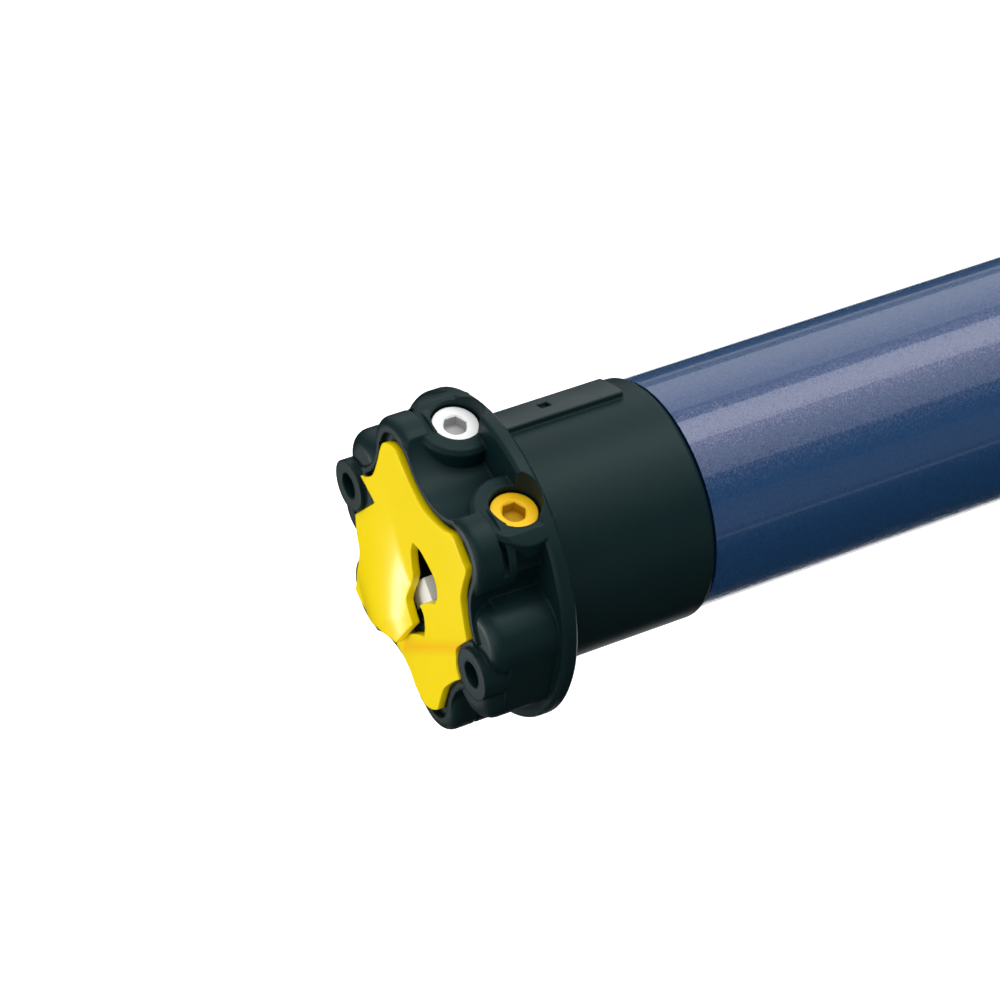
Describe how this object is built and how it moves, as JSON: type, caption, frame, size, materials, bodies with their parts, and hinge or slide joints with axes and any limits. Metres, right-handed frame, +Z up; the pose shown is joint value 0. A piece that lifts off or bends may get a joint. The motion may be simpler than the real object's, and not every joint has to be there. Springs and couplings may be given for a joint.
{
  "type": "tubular roller blind motor",
  "caption": "Tubular roller blind motor with moulded star head, limit adjusters, crown, brake, motor, planetary gearbox and drive wheel.",
  "frame": {"origin": "on the tube's axis, in the mounting plane of the head's two fixing bosses", "axes": "+X along the tube away from the head, +Z up with the limit adjusters on top, fixing holes on +Y and -Y"},
  "size_m": [0.5779, 0.0626, 0.0626],
  "materials": {
    "black_plastic": "moulded, low sheen",
    "yellow_plastic": "moulded, bright",
    "white_plastic": "moulded",
    "natural_plastic": "moulded, natural",
    "red_plastic": "moulded",
    "blue_tube": "metallic lacquer",
    "bright_steel": "turned",
    "gear_steel": "sintered",
    "brass": "turned",
    "zinc": "cast",
    "copper": "enamelled wire",
    "lamination": "stacked sheet",
    "can": "drawn",
    "friction": "moulded lining"
  },
  "bodies": {
    "stator": {"head_body": "black_plastic", "front_cover": "yellow_plastic", "cable_socket": "white_plastic", "contact_pins": "brass", "white_flex_shaft": "bright_steel", "yellow_flex_shaft": "bright_steel", "limit_frame": "natural_plastic", "frame_screws": "bright_steel", "motor_tube": "blue_tube", "tube_screws": "bright_steel", "capacitor": "can", "capacitor_holder": "natural_plastic", "brake_magnet": "lamination", "brake_coil": "copper", "brake_spring": "bright_steel", "front_shield": "zinc", "rear_shield": "zinc", "front_bearing": "bright_steel", "rear_bearing": "bright_steel", "stator_core": "lamination", "stator_winding": "copper", "ring_gear": "gear_steel", "output_flange": "black_plastic", "output_bush": "brass"},
    "rotor": {"motor_shaft": "bright_steel", "rotor_core": "lamination", "rotor_end_rings": "zinc", "brake_disc": "friction"},
    "armature": {"brake_armature": "bright_steel"},
    "carrier_1": {"first_carrier": "gear_steel"},
    "carrier_2": {"second_carrier": "gear_steel"},
    "planet_1a": {"first_planet_a": "natural_plastic"},
    "planet_1b": {"first_planet_b": "natural_plastic"},
    "planet_1c": {"first_planet_c": "natural_plastic"},
    "planet_2a": {"second_planet_a": "gear_steel"},
    "planet_2b": {"second_planet_b": "gear_steel"},
    "planet_2c": {"second_planet_c": "gear_steel"},
    "planet_3a": {"third_planet_a": "gear_steel"},
    "planet_3b": {"third_planet_b": "gear_steel"},
    "planet_3c": {"third_planet_c": "gear_steel"},
    "output": {"output_shaft": "bright_steel", "drive_wheel": "black_plastic", "wheel_clip": "bright_steel"},
    "crown": {"crown": "black_plastic"},
    "counter": {"counter_spindle": "natural_plastic"},
    "nut": {"counter_nut": "white_plastic"},
    "white_adjuster": {"white_adjuster": "white_plastic"},
    "yellow_adjuster": {"yellow_adjuster": "yellow_plastic"},
    "white_spindle": {"white_set_spindle": "brass"},
    "yellow_spindle": {"yellow_set_spindle": "brass"},
    "white_switch": {"white_switch_carriage": "white_plastic", "white_microswitch": "black_plastic"},
    "yellow_switch": {"yellow_switch_carriage": "yellow_plastic", "yellow_microswitch": "black_plastic"},
    "white_button": {"white_switch_button": "red_plastic"},
    "yellow_button": {"yellow_switch_button": "red_plastic"}
  },
  "joints": [
    {"name": "rotor_spin", "type": "hinge", "parent": "stator", "child": "rotor", "pos_m": [0.2, 0, 0], "axis": [1, 0, 0], "continuous": true},
    {"name": "carrier_1_spin", "type": "hinge", "parent": "stator", "child": "carrier_1", "pos_m": [0.42, 0, 0], "axis": [1, 0, 0], "continuous": true},
    {"name": "carrier_2_spin", "type": "hinge", "parent": "stator", "child": "carrier_2", "pos_m": [0.44, 0, 0], "axis": [1, 0, 0], "continuous": true},
    {"name": "output_spin", "type": "hinge", "parent": "stator", "child": "output", "pos_m": [0.5, 0, 0], "axis": [1, 0, 0], "continuous": true},
    {"name": "planet_1a_spin", "type": "hinge", "parent": "carrier_1", "child": "planet_1a", "pos_m": [0.42, 0.0108, 0], "axis": [1, 0, 0], "continuous": true},
    {"name": "planet_1b_spin", "type": "hinge", "parent": "carrier_1", "child": "planet_1b", "pos_m": [0.42, -0.0054, 0.00935], "axis": [1, 0, 0], "continuous": true},
    {"name": "planet_1c_spin", "type": "hinge", "parent": "carrier_1", "child": "planet_1c", "pos_m": [0.42, -0.0054, -0.00935], "axis": [1, 0, 0], "continuous": true},
    {"name": "planet_2a_spin", "type": "hinge", "parent": "carrier_2", "child": "planet_2a", "pos_m": [0.44, 0.0108, 0], "axis": [1, 0, 0], "continuous": true},
    {"name": "planet_2b_spin", "type": "hinge", "parent": "carrier_2", "child": "planet_2b", "pos_m": [0.44, -0.0054, 0.00935], "axis": [1, 0, 0], "continuous": true},
    {"name": "planet_2c_spin", "type": "hinge", "parent": "carrier_2", "child": "planet_2c", "pos_m": [0.44, -0.0054, -0.00935], "axis": [1, 0, 0], "continuous": true},
    {"name": "planet_3a_spin", "type": "hinge", "parent": "output", "child": "planet_3a", "pos_m": [0.46, 0.0108, 0], "axis": [1, 0, 0], "continuous": true},
    {"name": "planet_3b_spin", "type": "hinge", "parent": "output", "child": "planet_3b", "pos_m": [0.46, -0.0054, 0.00935], "axis": [1, 0, 0], "continuous": true},
    {"name": "planet_3c_spin", "type": "hinge", "parent": "output", "child": "planet_3c", "pos_m": [0.46, -0.0054, -0.00935], "axis": [1, 0, 0], "continuous": true},
    {"name": "crown_spin", "type": "hinge", "parent": "stator", "child": "crown", "pos_m": [0.03, 0, 0], "axis": [1, 0, 0], "range_deg": [-4320, 4320]},
    {"name": "counter_spin", "type": "hinge", "parent": "stator", "child": "counter", "pos_m": [0.05, 0, -0.0096], "axis": [1, 0, 0], "range_deg": [-8640, 8640]},
    {"name": "nut_slide", "type": "slide", "parent": "stator", "child": "nut", "axis": [1, 0, 0], "range_m": [-0.012, 0.012]},
    {"name": "white_adjuster_spin", "type": "hinge", "parent": "stator", "child": "white_adjuster", "pos_m": [0.0122, 0.011, 0.02], "axis": [0, 0, 1], "range_deg": [-1440, 1440]},
    {"name": "white_spindle_spin", "type": "hinge", "parent": "stator", "child": "white_spindle", "pos_m": [0.08, 0.011, 0.008], "axis": [1, 0, 0], "range_deg": [-1440, 1440]},
    {"name": "white_switch_slide", "type": "slide", "parent": "stator", "child": "white_switch", "axis": [1, 0, 0], "range_m": [-0.002, 0.002]},
    {"name": "yellow_adjuster_spin", "type": "hinge", "parent": "stator", "child": "yellow_adjuster", "pos_m": [0.0122, -0.011, 0.02], "axis": [0, 0, 1], "range_deg": [-1440, 1440]},
    {"name": "yellow_spindle_spin", "type": "hinge", "parent": "stator", "child": "yellow_spindle", "pos_m": [0.08, -0.011, 0.008], "axis": [1, 0, 0], "range_deg": [-1440, 1440]},
    {"name": "yellow_switch_slide", "type": "slide", "parent": "stator", "child": "yellow_switch", "axis": [1, 0, 0], "range_m": [-0.002, 0.002]},
    {"name": "white_button_press", "type": "slide", "parent": "white_switch", "child": "white_button", "axis": [1, 0, 0], "range_m": [0, 0.0006], "stiffness_N_per_m": 400, "springref_m": -0.001},
    {"name": "yellow_button_press", "type": "slide", "parent": "yellow_switch", "child": "yellow_button", "axis": [-1, 0, 0], "range_m": [0, 0.0006], "stiffness_N_per_m": 400, "springref_m": -0.001},
    {"name": "armature_slide", "type": "slide", "parent": "stator", "child": "armature", "axis": [1, 0, 0], "range_m": [-0.00035, 0], "stiffness_N_per_m": 20000, "springref_m": 0.002}
  ],
  "couplings": [
    {"joint": "carrier_1_spin", "follows": "rotor_spin", "ratio": 0.22222},
    {"joint": "carrier_2_spin", "follows": "rotor_spin", "ratio": 0.049383},
    {"joint": "output_spin", "follows": "rotor_spin", "ratio": 0.010974},
    {"joint": "planet_1a_spin", "follows": "rotor_spin", "ratio": -0.62222},
    {"joint": "planet_1b_spin", "follows": "rotor_spin", "ratio": -0.62222},
    {"joint": "planet_1c_spin", "follows": "rotor_spin", "ratio": -0.62222},
    {"joint": "planet_2a_spin", "follows": "rotor_spin", "ratio": -0.13827},
    {"joint": "planet_2b_spin", "follows": "rotor_spin", "ratio": -0.13827},
    {"joint": "planet_2c_spin", "follows": "rotor_spin", "ratio": -0.13827},
    {"joint": "planet_3a_spin", "follows": "rotor_spin", "ratio": -0.030727},
    {"joint": "planet_3b_spin", "follows": "rotor_spin", "ratio": -0.030727},
    {"joint": "planet_3c_spin", "follows": "rotor_spin", "ratio": -0.030727},
    {"joint": "counter_spin", "follows": "crown_spin", "ratio": 2},
    {"joint": "nut_slide", "follows": "crown_spin", "m_per_rad": 0.00015915},
    {"joint": "white_adjuster_spin", "follows": "white_switch_slide", "rad_per_m": 12566},
    {"joint": "white_spindle_spin", "follows": "white_switch_slide", "rad_per_m": 12566},
    {"joint": "yellow_adjuster_spin", "follows": "yellow_switch_slide", "rad_per_m": 12566},
    {"joint": "yellow_spindle_spin", "follows": "yellow_switch_slide", "rad_per_m": 12566}
  ]
}
